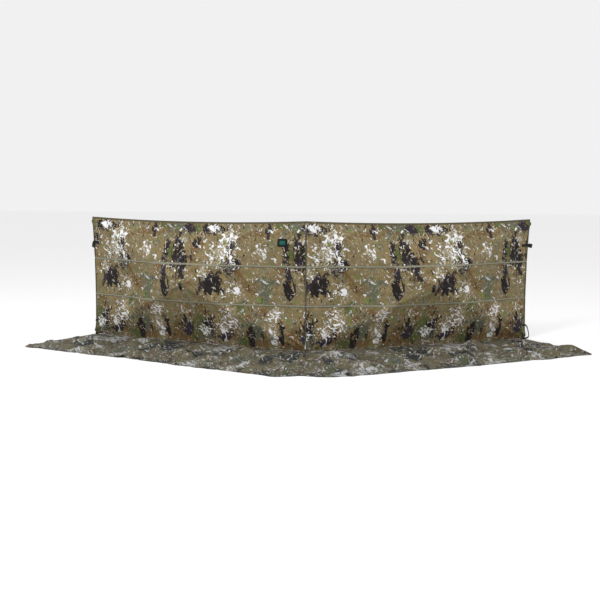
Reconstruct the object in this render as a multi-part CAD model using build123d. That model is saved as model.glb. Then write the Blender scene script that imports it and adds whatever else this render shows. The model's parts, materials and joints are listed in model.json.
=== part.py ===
from build123d import *
from math import atan, cos, degrees, radians, sin, tan
import os

# Layout field blind: two pop-out fabric walls that stand as a shallow V, each with a ground skirt
# lying in front of it. Every wall is a flat pyramid: four glass-fibre poles run from a hub that is
# popped forward at the wall's middle to the wall's four corners, and fold forward like an umbrella.
# Millimetres. One wall is built flat in its own axes and then turned into place:
#   X = along the wall, away from the seam; Y = out of the wall's front; Z = up.

os.makedirs("parts", exist_ok=True)

# ---------------------------------------------------------------- driving dimensions
WALL_LENGTH = 1770.0      # one wall along the ground
WALL_TOP = 914.0          # top edge above the ground
WALL_BOTTOM = 4.0         # bottom edge above the ground
HUB_BULGE = 200.0         # how far the popped hub stands in front of the wall's four edges
WALL_TURN = 20.0          # degrees each wall is swung back from a straight line
SEAM_CLEAR = 1.0          # start of each wall from the seam between the two
SEAM_AXIS_BACK = 10.0     # the walls fold about a line this far behind the seam
CLOTH = 1.5               # wall cloth with its lining
SKIRT_CLOTH = 1.5
SPLIT_CLEAR = 0.2         # each quarter of a wall stops this far short of the wall's middle lines

SKIRT_DEPTH_SEAM = 765.0  # front edge from the wall, at the seam end
SKIRT_DEPTH_END = 640.0   # and at the outer end
SKIRT_FLARE = 160.0       # the skirt's outer corner stands this far past the wall's end
SKIRT_START = 0.6         # the skirt begins this far in front of the wall
SKIRT_CORNER = 150.0      # rounding of the front corner beside the seam
SKIRT_TIP_ROUND = 40.0    # rounding of the outer front corner
SKIRT_LIFT = {"left": 0.0, "right": 1.8}   # the right skirt laps over the left one

STRAP_WIDTH = 12.0        # brush straps sewn across the wall
STRAP_THICK = 1.2
STRAP_HEIGHTS = {"top": 600.0, "bottom": 325.0}
ON_CLOTH = 0.2            # trim stands this far off the cloth it is sewn to

HUB_RADIUS = 38.0
HUB_FRONT = 21.0          # hub faces, measured back from the tip of the pyramid
HUB_BACK = 48.0
PIN_BACK = 32.0           # knuckle pins, measured back from the tip
PIN_CIRCLE = 31.0         # radius that the pins lie on
PIN_RADIUS = 2.0
PIN_LENGTH = 20.0
PIN_HOLE = 2.03
SLOT_WIDTH = 9.0
SLOT_START = 22.0
SLOT_FLOOR = 8.2          # below the pins; the popped knuckle rests on its outer edge
DOME_FRONT = 8.0
DOME_RADII = (19.0, 11.0)
HUB_CHAMFER = 1.5

KNUCKLE_EYE = 6.5
KNUCKLE_THICK = 8.0
KNUCKLE_BORE = 2.05
SOCKET_START = 14.0
SOCKET_LENGTH = 40.0
SOCKET_RADIUS = 7.5
SOCKET_WALL_END = 4.0

POLE_RADIUS = 4.75
POLE_FIT = 0.05
TIP_RADIUS = 6.5
TIP_SLEEVE = 38.0
TIP_BACK = 9.0            # pole tips lie this far behind the wall's edges
TIP_INSET = {"outer": 10.0, "inner": 40.0}
TIP_DROP = {"top": 9.0, "bottom": 7.0}

HOLE_SHARE = 0.013        # the cloth is open round the hub's stem over this share of its half size
BUTTON_RADIUS = 13.0
BUTTON_HEAD = 3.6
BUTTON_SEAT = 0.4         # back of the button's head, measured back from the tip of the pyramid
STEM_RADIUS = 5.0
STEM_HOLE = 5.1
STEM_END = 22.0
TAB_WIDTH = 20.0          # pull tab under the button
TAB_DROP = 42.0
TAB_THICK = 1.6
TAB_OFF_CLOTH = 0.4
TAB_BEND = -8.0           # the tab turns down the cloth this far below the stem
TAB_ABOVE = 9.0

END_STRAP_HEIGHT = 722.0  # buckle strap on each outer end
END_STRAP_WIDTH = 20.0
END_STRAP_INSIDE = 62.0
END_STRAP_OUTSIDE = 9.0
BUCKLE_LENGTH = 34.0
BUCKLE_WIDTH = 31.0
BUCKLE_THICK = 8.0
BUCKLE_SLOT = 3.6

LOOP_HEIGHT = 62.0        # stake loop on each outer end, near the ground
LOOP_REACH = 44.0
LOOP_HALF = 54.0
LOOP_BAND = 11.0
LOOP_THICK = 2.5
LOOP_LEG = 24.0

LABEL_WIDTH = 70.0
LABEL_HEIGHT = 56.0
LABEL_THICK = 1.2
LABEL_FROM_SEAM = 160.0
LABEL_AT_HEIGHT = 768.0

# ---------------------------------------------------------------- worked out from them
HALF_LENGTH = WALL_LENGTH / 2
HALF_HEIGHT = (WALL_TOP - WALL_BOTTOM) / 2
HUB_X = SEAM_CLEAR + HALF_LENGTH
HUB_Z = (WALL_TOP + WALL_BOTTOM) / 2
WALL_END = SEAM_CLEAR + WALL_LENGTH
TURN = radians(WALL_TURN)
END_SIGN = {"outer": 1, "inner": -1}
LEVEL_SIGN = {"top": 1, "bottom": -1}
QUARTERS = [(end, level) for end in END_SIGN for level in LEVEL_SIGN]
END_SLOPE = degrees(atan(HUB_BULGE / HALF_LENGTH))


def wall_front(p, q):
    """Front of the cloth, where p and q run from 0 at the hub to 1 at the wall's edges."""
    return HUB_BULGE * (1 - max(p, q))


def cloth_patch(end, level, corners, offset, thick):
    """A plate on one facet of a wall quarter; its front stands 'offset' in front of the cloth."""
    points = []
    for p, q in corners:
        x = HUB_X + END_SIGN[end] * p * HALF_LENGTH
        z = HUB_Z + LEVEL_SIGN[level] * q * HALF_HEIGHT
        points.append((x, wall_front(p, q) + offset, z))
    outline = Face(Wire.make_polygon(points, close=True))
    return extrude(outline, amount=thick, dir=(0, -1, 0))


def wall_quarter(end, level):
    """One quarter of a wall: the two cloth facets either side of a pole, as one sheet."""
    p_split = SPLIT_CLEAR / HALF_LENGTH
    q_split = SPLIT_CLEAR / HALF_HEIGHT
    hole = HOLE_SHARE
    cap = [(p_split, hole), (hole, hole), (1, 1), (p_split, 1)]
    side = [(hole, q_split), (1, q_split), (1, 1), (hole, hole)]
    return cloth_patch(end, level, cap, 0, CLOTH) + cloth_patch(end, level, side, 0, CLOTH)


def brush_strap(end, level):
    """A level strap across the quarter that bends over the pole's ridge."""
    p_split = SPLIT_CLEAR / HALF_LENGTH
    middle = abs(STRAP_HEIGHTS[level] - HUB_Z)
    low = (middle - STRAP_WIDTH / 2) / HALF_HEIGHT
    high = (middle + STRAP_WIDTH / 2) / HALF_HEIGHT
    cap = [(p_split, low), (low, low), (high, high), (p_split, high)]
    side = [(low, low), (1, low), (1, high), (high, high)]
    offset = ON_CLOTH + STRAP_THICK
    return (cloth_patch(end, level, cap, offset, STRAP_THICK)
            + cloth_patch(end, level, side, offset, STRAP_THICK))


def tip_point(end, level):
    """Middle of the pole's tip, behind the wall's corner."""
    x = HUB_X + END_SIGN[end] * (HALF_LENGTH - TIP_INSET[end])
    z = HUB_Z + LEVEL_SIGN[level] * (HALF_HEIGHT - TIP_DROP[level])
    return Vector(x, -TIP_BACK, z)


def spoke(end, level):
    """Unit direction in the wall's plane from the hub's middle towards the pole's tip."""
    tip = tip_point(end, level)
    return Vector(tip.X - HUB_X, 0, tip.Z - HUB_Z).normalized()


def pin_point(end, level):
    """Middle of the knuckle pin."""
    return Vector(HUB_X, HUB_BULGE - PIN_BACK, HUB_Z) + spoke(end, level) * PIN_CIRCLE


def pole_plane(end, level):
    """Axes of one pole: origin on its pin, X along the pin and Z towards the tip."""
    pin = pin_point(end, level)
    across = spoke(end, level).cross(Vector(0, 1, 0))
    return Plane(origin=pin, x_dir=across, z_dir=tip_point(end, level) - pin)


def pole_reach(end, level):
    return (tip_point(end, level) - pin_point(end, level)).length


def rod(radius, start, finish):
    """A round bar along Z from start to finish."""
    return Pos(0, 0, start) * Cylinder(radius, finish - start, align=(Align.CENTER, Align.CENTER, Align.MIN))


def knuckle(end, level):
    """Moulded end of the pole: an eye on the pin, a blade in the hub's slot and a socket."""
    eye = Cylinder(KNUCKLE_EYE, KNUCKLE_THICK, rotation=(0, 90, 0))
    blade_length = SOCKET_START + 1
    blade = Pos(0, 0, blade_length / 2) * Box(KNUCKLE_THICK, 2 * KNUCKLE_EYE, blade_length)
    socket_end = SOCKET_START + SOCKET_LENGTH
    socket = rod(SOCKET_RADIUS, SOCKET_START, socket_end)
    body = eye + blade + socket
    body -= Cylinder(KNUCKLE_BORE, 2 * KNUCKLE_THICK, rotation=(0, 90, 0))
    body -= rod(POLE_RADIUS + POLE_FIT, SOCKET_START + SOCKET_WALL_END, socket_end + 1)
    return pole_plane(end, level) * body


def pole(end, level):
    start = SOCKET_START + SOCKET_WALL_END + 0.5
    return pole_plane(end, level) * rod(POLE_RADIUS, start, pole_reach(end, level) - 2)


def tip_cup(end, level):
    """Plastic cup on the pole's tip; the lower ones have a foot that stands on the ground."""
    reach = pole_reach(end, level)
    frame = pole_plane(end, level)
    shell = rod(TIP_RADIUS, reach - TIP_SLEEVE, reach) + Pos(0, 0, reach) * Sphere(TIP_RADIUS)
    shell = frame * shell
    if level == "bottom":
        tip = tip_point(end, level)
        shell += Pos(tip.X, tip.Y, 0) * rod(TIP_RADIUS, 0, tip.Z)
    return shell - frame * rod(POLE_RADIUS + POLE_FIT, reach - TIP_SLEEVE - 1, reach - 1.5)


HUB_PLANE = Plane(origin=(HUB_X, HUB_BULGE, HUB_Z), x_dir=(1, 0, 0), z_dir=(0, 1, 0))


def slot_plane(end, level):
    """Axes of one slot: origin on the hub's axis level with the pins, X out towards the pole."""
    origin = (HUB_X, HUB_BULGE - PIN_BACK, HUB_Z)
    return Plane(origin=origin, x_dir=spoke(end, level), z_dir=(0, 1, 0))


def hub():
    """Moulded hub behind the cloth, with four open slots, a dome in front and a hole for the stem."""
    disc = chamfer(rod(HUB_RADIUS, -HUB_BACK, -HUB_FRONT).edges(), HUB_CHAMFER)
    dome_height = HUB_FRONT - DOME_FRONT
    dome = Pos(0, 0, -HUB_FRONT + dome_height / 2) * Cone(DOME_RADII[0], DOME_RADII[1], dome_height)
    body = disc + dome - rod(STEM_HOLE, -STEM_END - 2, 0)
    body = HUB_PLANE * body
    slot_length = HUB_RADIUS - SLOT_START + 5
    slot_height = PIN_BACK - HUB_FRONT + SLOT_FLOOR + 5
    for end, level in QUARTERS:
        frame = slot_plane(end, level)
        slot = Pos(SLOT_START + slot_length / 2, 0, slot_height / 2 - SLOT_FLOOR)
        body -= frame * slot * Box(slot_length, SLOT_WIDTH, slot_height)
        body -= frame * Pos(PIN_CIRCLE, 0, 0) * Cylinder(PIN_HOLE, PIN_LENGTH + 4, rotation=(90, 0, 0))
    return body


def hub_pins():
    """The four steel pins that the knuckles turn on."""
    pins = [slot_plane(*quarter) * Pos(PIN_CIRCLE, 0, 0)
            * Cylinder(PIN_RADIUS, PIN_LENGTH, rotation=(90, 0, 0)) for quarter in QUARTERS]
    return Compound(children=pins)


def hub_button():
    """Round button in front of the cloth, with a stem pressed into the hub."""
    head = rod(BUTTON_RADIUS, -BUTTON_SEAT, BUTTON_HEAD - BUTTON_SEAT)
    head = fillet(head.edges().group_by(Axis.Z)[-1], BUTTON_HEAD * 0.6)
    return HUB_PLANE * (head + rod(STEM_RADIUS, -STEM_END, -BUTTON_SEAT))


def pull_tab():
    """Short webbing tab held under the button and hanging down the cloth."""
    slope = HUB_BULGE / HALF_HEIGHT
    back = HUB_BULGE * (1 - HOLE_SHARE) + TAB_OFF_CLOTH
    low = back - (TAB_DROP + TAB_BEND) * slope
    outline = [(TAB_ABOVE, back), (TAB_BEND, back), (-TAB_DROP, low), (-TAB_DROP, low + TAB_THICK),
               (TAB_BEND, back + TAB_THICK), (TAB_ABOVE, back + TAB_THICK)]
    points = [(HUB_X - TAB_WIDTH / 2, y, HUB_Z + z) for z, y in outline]
    strip = extrude(Face(Wire.make_polygon(points, close=True)), amount=TAB_WIDTH, dir=(1, 0, 0))
    return strip - HUB_PLANE * rod(STEM_HOLE, -6, 6)


def end_plane(height):
    """Axes on the front of the wall's outer end: X towards the end, Y up, Z off the cloth."""
    slope = radians(END_SLOPE)
    along = (cos(slope), -sin(slope), 0)
    off = (sin(slope), cos(slope), 0)
    return Plane(origin=(WALL_END, 0, height), x_dir=along, z_dir=off)


def seam_plane(from_seam, height):
    """Axes on the front of the wall near the seam: X away from the seam, Z off the cloth."""
    slope = radians(END_SLOPE)
    y = HUB_BULGE * (from_seam - SEAM_CLEAR) / HALF_LENGTH
    return Plane(origin=(from_seam, y, height), x_dir=(cos(slope), sin(slope), 0),
                 z_dir=(-sin(slope), cos(slope), 0))


def raised(sketch, lift, thick):
    return Pos(0, 0, lift) * extrude(sketch, amount=thick)


def end_strap():
    """Webbing strap sewn to the wall's outer end and threaded through its buckle."""
    length = END_STRAP_INSIDE + END_STRAP_OUTSIDE
    middle = (END_STRAP_OUTSIDE - END_STRAP_INSIDE) / 2
    band = Pos(middle, 0) * Rectangle(length, END_STRAP_WIDTH)
    return end_plane(END_STRAP_HEIGHT) * raised(band, ON_CLOTH, CLOTH)


def end_buckle():
    """Plastic ladder buckle: a frame with two slots and a middle bar."""
    blank = RectangleRounded(BUCKLE_LENGTH, BUCKLE_WIDTH, 4)
    for side in (-1, 1):
        blank -= Pos(side * BUCKLE_SLOT * 1.3, 0) * Rectangle(BUCKLE_SLOT, END_STRAP_WIDTH + 2)
    body = extrude(blank, amount=BUCKLE_THICK)
    body = chamfer(body.edges().group_by(Axis.Z)[-1], 0.8)
    middle = END_STRAP_OUTSIDE + 0.3 + BUCKLE_LENGTH / 2
    return end_plane(END_STRAP_HEIGHT) * Pos(middle, 0, -BUCKLE_THICK / 2) * body


def stake_loop():
    """Webbing loop for a ground stake: a half ring off the wall's end with two sewn legs."""
    ring = Ellipse(LOOP_REACH, LOOP_HALF) - Ellipse(LOOP_REACH - LOOP_BAND, LOOP_HALF - LOOP_BAND)
    ring &= Pos(LOOP_REACH, 0) * Rectangle(2 * LOOP_REACH, 2 * LOOP_HALF + 2)
    for side in (-1, 1):
        level = side * (LOOP_HALF - LOOP_BAND / 2)
        ring += Pos(-LOOP_LEG / 2, level) * Rectangle(LOOP_LEG, LOOP_BAND)
    return end_plane(LOOP_HEIGHT) * Pos(-4, 0) * raised(ring, ON_CLOTH, LOOP_THICK)


def label():
    """Plain woven patch near the seam."""
    patch = RectangleRounded(LABEL_WIDTH, LABEL_HEIGHT, 6)
    return seam_plane(LABEL_FROM_SEAM, LABEL_AT_HEIGHT) * raised(patch, ON_CLOTH, LABEL_THICK)


def skirt_edge_depth(x):
    """Depth of the skirt's front edge at a place along the wall."""
    near = -SKIRT_DEPTH_SEAM * tan(TURN)
    far = WALL_END + SKIRT_FLARE
    return SKIRT_DEPTH_SEAM + (SKIRT_DEPTH_END - SKIRT_DEPTH_SEAM) * (x - near) / (far - near)


def skirt(side, end):
    """Half of the ground skirt in front of one wall, flat on the ground."""
    inner_corner = (-SKIRT_DEPTH_SEAM * tan(TURN) + 1, skirt_edge_depth(-SKIRT_DEPTH_SEAM * tan(TURN)))
    outer_corner = (WALL_END + SKIRT_FLARE, SKIRT_DEPTH_END)
    if end == "inner":
        split = HUB_X - SPLIT_CLEAR
        points = [(SEAM_CLEAR, SKIRT_START), (split, SKIRT_START), (split, skirt_edge_depth(split)),
                  inner_corner]
        rounding = SKIRT_CORNER
    else:
        split = HUB_X + SPLIT_CLEAR
        points = [(WALL_END, SKIRT_START), (split, SKIRT_START), (split, skirt_edge_depth(split)),
                  outer_corner]
        rounding = SKIRT_TIP_ROUND
    outline = make_face(Polyline(*points, close=True))
    front = outline.vertices().sort_by_distance(points[-1])[0]
    outline = fillet(front, rounding)
    return raised(outline, SKIRT_LIFT[side], SKIRT_CLOTH)


# ---------------------------------------------------------------- turning a wall into place
ALONG = Vector(-cos(TURN), sin(TURN), 0)
LEFT_WALL = Plane(origin=(0, 0, 0), x_dir=ALONG, z_dir=(0, 0, 1))


def in_place(shape, side):
    """Turns a shape from the wall's own axes to the left wall, or mirrors it to the right one."""
    placed = LEFT_WALL * shape
    return placed if side == "left" else mirror(placed, about=Plane.YZ)


def build():
    """Every sub-part by name, with the seam's foot at the origin."""
    made = {}
    for side in ("left", "right"):
        made[side + "_hub"] = in_place(hub(), side)
        made[side + "_hub_pins"] = in_place(hub_pins(), side)
        made[side + "_hub_button"] = in_place(hub_button(), side)
        made[side + "_pull_tab"] = in_place(pull_tab(), side)
        for end, level in QUARTERS:
            place = f"{side}_{end}_{level}_"
            made[place + "wall"] = in_place(wall_quarter(end, level), side)
            made[place + "pole"] = in_place(pole(end, level), side)
            made[place + "knuckle"] = in_place(knuckle(end, level), side)
            made[place + "tip_cup"] = in_place(tip_cup(end, level), side)
            made[place + "brush_strap"] = in_place(brush_strap(end, level), side)
        for end in END_SIGN:
            made[f"{side}_{end}_skirt"] = in_place(skirt(side, end), side)
        made[side + "_end_strap"] = in_place(end_strap(), side)
        made[side + "_end_buckle"] = in_place(end_buckle(), side)
        made[side + "_stake_loop"] = in_place(stake_loop(), side)
    made["label_patch"] = in_place(label(), "left")
    return made


pieces = build()

# The origin is the middle of the whole blind's footprint, so the seam moves to SEAM_Y.
lowest = min(piece.bounding_box().min.Y for piece in pieces.values())
highest = max(piece.bounding_box().max.Y for piece in pieces.values())
SEAM_Y = -(lowest + highest) / 2
pieces = {name: Pos(0, SEAM_Y, 0) * piece for name, piece in pieces.items()}

for name, piece in pieces.items():
    export_step(piece, f"parts/{name}.step")
    box = piece.bounding_box()
    print(f"{name:28s} {len(piece.solids())} {box.size.X:8.1f} {box.size.Y:8.1f} {box.size.Z:8.1f}")
print("seam at Y", round(SEAM_Y, 3), "; sub-parts:", len(pieces))
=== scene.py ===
# %% [markdown]
# # A layout field blind in camouflage cloth
# The blind is two cloth walls, each pushed out from behind by a hub and four poles, with a ground
# skirt in front of each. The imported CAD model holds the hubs, poles, pins and joints. This script
# keeps those and makes what a rigid model can't show: stretched cloth, sewn tape, webbing and print.

import json
import math

import bmesh
import bpy
from mathutils import Matrix, Vector, noise


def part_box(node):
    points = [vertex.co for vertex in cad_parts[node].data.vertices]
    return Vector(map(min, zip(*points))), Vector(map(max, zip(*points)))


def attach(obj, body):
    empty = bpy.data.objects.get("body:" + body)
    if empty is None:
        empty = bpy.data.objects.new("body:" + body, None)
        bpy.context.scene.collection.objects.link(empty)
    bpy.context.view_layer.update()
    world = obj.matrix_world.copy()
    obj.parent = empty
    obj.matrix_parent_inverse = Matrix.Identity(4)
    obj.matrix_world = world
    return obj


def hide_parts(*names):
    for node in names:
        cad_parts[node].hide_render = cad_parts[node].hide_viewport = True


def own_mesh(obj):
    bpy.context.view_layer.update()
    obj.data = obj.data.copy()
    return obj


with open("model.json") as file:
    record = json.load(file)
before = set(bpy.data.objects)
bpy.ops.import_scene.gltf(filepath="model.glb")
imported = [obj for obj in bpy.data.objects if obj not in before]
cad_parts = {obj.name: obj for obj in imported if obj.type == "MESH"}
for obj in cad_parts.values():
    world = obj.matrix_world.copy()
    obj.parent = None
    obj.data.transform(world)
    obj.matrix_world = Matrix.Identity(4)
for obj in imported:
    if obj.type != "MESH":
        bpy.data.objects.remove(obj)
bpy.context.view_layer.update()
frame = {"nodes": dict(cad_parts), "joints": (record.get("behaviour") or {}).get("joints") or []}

# %% [markdown]
# ## Where the walls stand
# Each wall has its own directions: along the ground away from the seam, out of its front, and up.
# They are read off the frame, so that every cloth piece lands on the CAD wall it stands for. The two
# walls mirror each other, so one function places a point on either of them.

# %% The wall's own directions
SIDES = {"left": -1, "right": 1}
SEAM_AXIS_BACK = 0.010
fold_joint = next(joint for joint in frame["joints"] if joint["name"] == "centre_fold")
SEAM_Y = fold_joint["pos_m"][1] - SEAM_AXIS_BACK
wall_corners = [v.co.copy() for v in frame["nodes"]["left_outer_bottom_wall"].data.vertices]
far_corner = min(wall_corners, key=lambda co: (round(co.x, 4), co.z))
TURN = math.atan2(far_corner.y - SEAM_Y, -far_corner.x)
WALL_END = math.hypot(far_corner.x, far_corner.y - SEAM_Y)
SEAM_CLEAR = 0.001
WALL_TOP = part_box("left_outer_top_wall")[1].z
WALL_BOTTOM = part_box("left_outer_bottom_wall")[0].z
HALF_LENGTH = (WALL_END - SEAM_CLEAR) / 2
HALF_HEIGHT = (WALL_TOP - WALL_BOTTOM) / 2
HUB_U = SEAM_CLEAR + HALF_LENGTH
HUB_Z = (WALL_TOP + WALL_BOTTOM) / 2


def at(side, u, n, z):
    """The point u along a wall from the seam, n out of its front and z above the ground."""
    x = u * math.cos(TURN) + n * math.sin(TURN)
    y = SEAM_Y + u * math.sin(TURN) - n * math.cos(TURN)
    return Vector((SIDES[side] * x, y, z))


def turn(side, u, n, z):
    """A direction given in a wall's own axes."""
    return at(side, u, n, z) - at(side, 0, 0, 0)


def wall_depth(point):
    """How far in front of the left wall's edges a point stands."""
    return (point - at("left", 0, 0, 0)).dot(turn("left", 0, 1, 0))


HUB_BULGE = max(wall_depth(co) for co in wall_corners) + 0.0026
QUARTERS = [(end, level) for end in ("outer", "inner") for level in ("top", "bottom")]
END_SIGN = {"outer": 1, "inner": -1}
LEVEL_SIGN = {"top": 1, "bottom": -1}
print("turn", round(math.degrees(TURN), 2), "wall end", round(WALL_END, 4), "bulge", round(HUB_BULGE, 4))

# %% [markdown]
# ## Colours, and a helper for nodes
# Colours are written as the sRGB hex values a screen shows. Blender's shaders work in linear light, so
# one function turns them. A second one adds a node with its settings, its values and its links at once.

# %% Colour and node helpers
def linear(hex_colour):
    channels = [int(hex_colour[i:i + 2], 16) / 255 for i in (1, 3, 5)]
    return tuple(c / 12.92 if c <= 0.04045 else ((c + 0.055) / 1.055) ** 2.4 for c in channels) + (1.0,)


def add_node(tree, kind, settings=None, inputs=None):
    made = tree.nodes.new(kind)
    for name, value in (settings or {}).items():
        setattr(made, name, value)
    for name, value in (inputs or {}).items():
        if isinstance(value, bpy.types.NodeSocket):
            tree.links.new(value, made.inputs[name])
        else:
            made.inputs[name].default_value = value
    return made


def start_material(name, **values):
    """A material with one Principled shader, its plain values set on the shader's own sockets."""
    material = bpy.data.materials.new(name)
    material.use_nodes = True
    tree = material.node_tree
    tree.nodes.clear()
    output = tree.nodes.new("ShaderNodeOutputMaterial")
    shader = add_node(tree, "ShaderNodeBsdfPrincipled", inputs=values)
    tree.links.new(shader.outputs[0], output.inputs[0])
    return material, tree, shader


def math_node(operation):
    return {"operation": operation}


def mix_colours(tree, share, first, second, blend="MIX"):
    mixed = add_node(tree, "ShaderNodeMix", {"data_type": "RGBA", "blend_type": blend},
                     {0: share, 6: first, 7: second})
    return mixed.outputs[2]


def step(tree, value, low, high):
    """0 below low, 1 above high: a print's edge is as soft as the gap between them."""
    return add_node(tree, "ShaderNodeMapRange", None,
                    {"Value": value, "From Min": low, "From Max": high}).outputs[0]


# %% [markdown]
# ## The camouflage print
# The cloth is woven polyester with a print that comes off a roller, so the picture repeats along the
# roll. Noise doesn't repeat by itself. If the cloth's length is wrapped round a cylinder whose girth is
# one repeat, then 3-D noise read on that cylinder meets itself again after each turn. The print is
# built up as a printer would, ink over ink: ground colours, grass, leaf patches, dark bark, then lichen.

# %% Print measures
PRINT_REPEAT = 0.925       # one turn of the print roller, in metres along the cloth
PRINT_RISE = 0.96          # height of the picture, before it starts again across the cloth
PRINT_RADIUS = PRINT_REPEAT / (2 * math.pi)


def both(tree, first, second, operation="MULTIPLY"):
    return add_node(tree, "ShaderNodeMath", math_node(operation), {0: first, 1: second}).outputs[0]


def vectors(tree, first, second, operation="ADD", third=None):
    values = {0: first, 1: second}
    if third is not None:
        values[2] = third
    return add_node(tree, "ShaderNodeVectorMath", math_node(operation), values).outputs[0]


def roller(tree, cloth, lean=0.0, stretch=(1.0, 1.0), offset=0.0):
    """Cloth metres wrapped on the print roller; lean slants what is drawn, stretch makes it longer."""
    across = add_node(tree, "ShaderNodeSeparateXYZ", inputs={0: cloth})
    up = across.outputs[1]
    slanted = both(tree, both(tree, up, lean), across.outputs[0], "ADD")
    angle = both(tree, slanted, 1 / PRINT_RADIUS)
    cosine = add_node(tree, "ShaderNodeMath", math_node("COSINE"), {0: angle}).outputs[0]
    sine = add_node(tree, "ShaderNodeMath", math_node("SINE"), {0: angle}).outputs[0]
    placed = add_node(tree, "ShaderNodeCombineXYZ", inputs={0: cosine, 1: sine, 2: up}).outputs[0]
    girth = PRINT_RADIUS / stretch[0]
    return vectors(tree, placed, (girth, girth, 1 / stretch[1]), "MULTIPLY_ADD", (0, 0, offset))


def noise_at(tree, vector, scale, detail=2.0, distortion=0.0, roughness=0.5):
    return add_node(tree, "ShaderNodeTexNoise", None,
                    {"Vector": vector, "Scale": scale, "Detail": detail, "Distortion": distortion,
                     "Roughness": roughness}).outputs[0]


def near_motifs(tree, cloth, places):
    """1 at the heart of the nearest motif and 0 at its rim, falling below 0 outside."""
    nearest = 9.0
    for u, v, wide, tall in places:
        away = vectors(tree, cloth, (u, v, 0), "SUBTRACT")
        half = (PRINT_REPEAT / 2, PRINT_RISE / 2, 1)
        wrapped = vectors(tree, away, half, "WRAP", tuple(-value for value in half))
        sized = vectors(tree, wrapped, (1 / wide, 1 / tall, 0), "MULTIPLY")
        reach = add_node(tree, "ShaderNodeVectorMath", math_node("LENGTH"), {0: sized}).outputs["Value"]
        nearest = both(tree, reach, nearest, "MINIMUM")
    return both(tree, 1.0, nearest, "SUBTRACT")


# %% [markdown]
# ### Ink over ink
# Each ink is a mask with a hard edge, because printed camouflage has crisp edges up close and only looks
# soft from far away. A motif table says where the artist put the large shapes: dark bark, patches of
# lichen, leaves. Noise tears their edges. Lichen is many light squiggles, crowded at a patch's heart.

# %% Camouflage cloth
PRINT_INKS = {
    "tan": "#897652", "sand": "#9a8a68", "khaki": "#7a6d4b", "earth": "#6b4f2b", "olive": "#565d33",
    "sage": "#6e7160", "slate": "#60614f", "bark": "#1d1816", "bark_violet": "#2f2831", "umber": "#43331f",
    "cream": "#b0a790", "lichen": "#ebebec", "lichen_shade": "#a5a39e", "moss": "#6a7a36",
}
# place along and up the cloth, half width and half height, all in metres
BARK = [(0.79, 0.76, 0.022, 0.050), (0.81, 0.69, 0.034, 0.050), (0.85, 0.62, 0.050, 0.050),
        (0.86, 0.55, 0.020, 0.040), (0.86, 0.87, 0.040, 0.040), (0.71, 0.70, 0.018, 0.060),
        (0.17, 0.46, 0.065, 0.060), (0.33, 0.60, 0.035, 0.050), (0.14, 0.86, 0.080, 0.026),
        (0.72, 0.53, 0.020, 0.055), (0.72, 0.42, 0.028, 0.060), (0.86, 0.13, 0.045, 0.050),
        (0.12, 0.17, 0.018, 0.080), (0.45, 0.09, 0.020, 0.055), (0.68, 0.12, 0.018, 0.055),
        (0.94, 0.75, 0.030, 0.024), (0.59, 0.87, 0.015, 0.040), (0.31, 0.72, 0.014, 0.060),
        (0.20, 0.055, 0.030, 0.014), (0.25, 0.085, 0.026, 0.020), (0.29, 0.140, 0.016, 0.034)]
LICHEN = [(0.25, 0.68, 0.110, 0.080), (0.28, 0.80, 0.080, 0.080), (0.54, 0.70, 0.040, 0.050),
          (0.30, 0.22, 0.080, 0.110), (0.23, 0.12, 0.060, 0.050), (0.99, 0.11, 0.036, 0.040),
          (0.62, 0.12, 0.036, 0.080), (0.36, 0.43, 0.060, 0.055), (0.83, 0.77, 0.030, 0.030),
          (0.12, 0.56, 0.035, 0.045), (0.63, 0.26, 0.070, 0.050), (0.14, 0.86, 0.050, 0.030)]
GREEN = [(0.75, 0.69, 0.025, 0.070), (0.90, 0.09, 0.070, 0.060), (0.66, 0.89, 0.040, 0.030),
         (0.93, 0.86, 0.030, 0.040), (0.40, 0.30, 0.025, 0.050), (0.05, 0.16, 0.040, 0.080),
         (0.38, 0.05, 0.050, 0.040)]
SLATE = [(0.78, 0.88, 0.060, 0.045), (0.57, 0.44, 0.050, 0.070), (0.31, 0.60, 0.060, 0.040),
         (0.09, 0.10, 0.050, 0.060), (0.47, 0.14, 0.060, 0.050)]


def ragged(tree, field, tear, amount, level=0.0, soft=0.03):
    """A motif mask whose rim is torn by noise."""
    torn = both(tree, both(tree, tear, 0.5, "SUBTRACT"), amount)
    return step(tree, both(tree, field, torn, "ADD"), level, level + soft)


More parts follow.
